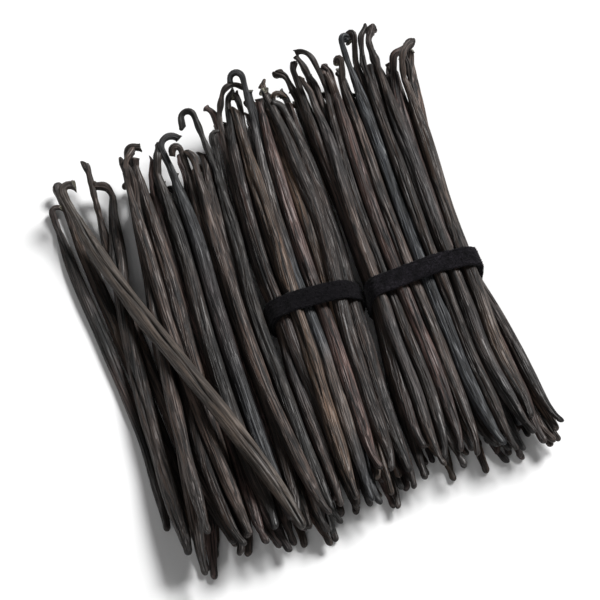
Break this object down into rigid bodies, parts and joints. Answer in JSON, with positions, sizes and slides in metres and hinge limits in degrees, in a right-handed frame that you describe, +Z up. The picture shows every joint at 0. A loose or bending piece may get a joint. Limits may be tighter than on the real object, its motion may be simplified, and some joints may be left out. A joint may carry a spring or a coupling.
{
  "type": "heap of vanilla pods",
  "caption": "Strap-tied bundles of long, dark, wrinkled cured vanilla pods side by side, with loose pods against them and one pod lying across.",
  "frame": {"origin": "middle of the heap's box, on the surface it lies on", "axes": "+Y along the pods towards their hooked stem ends, +Z up, +X to the right, from the loose pods to the larger bundle"},
  "size_m": [0.16, 0.2086, 0.0277],
  "materials": {
    "pods": "dark brown, wrinkled, slightly oily",
    "strap": "black hook-and-loop webbing, matt"
  },
  "bodies": {
    "root": {"right_bundle": "pods", "left_bundle": "pods", "loose_pods": "pods", "crossing_pod": "pods", "edge_pod": "pods", "right_strap": "strap", "left_strap": "strap"}
  },
  "joints": []
}
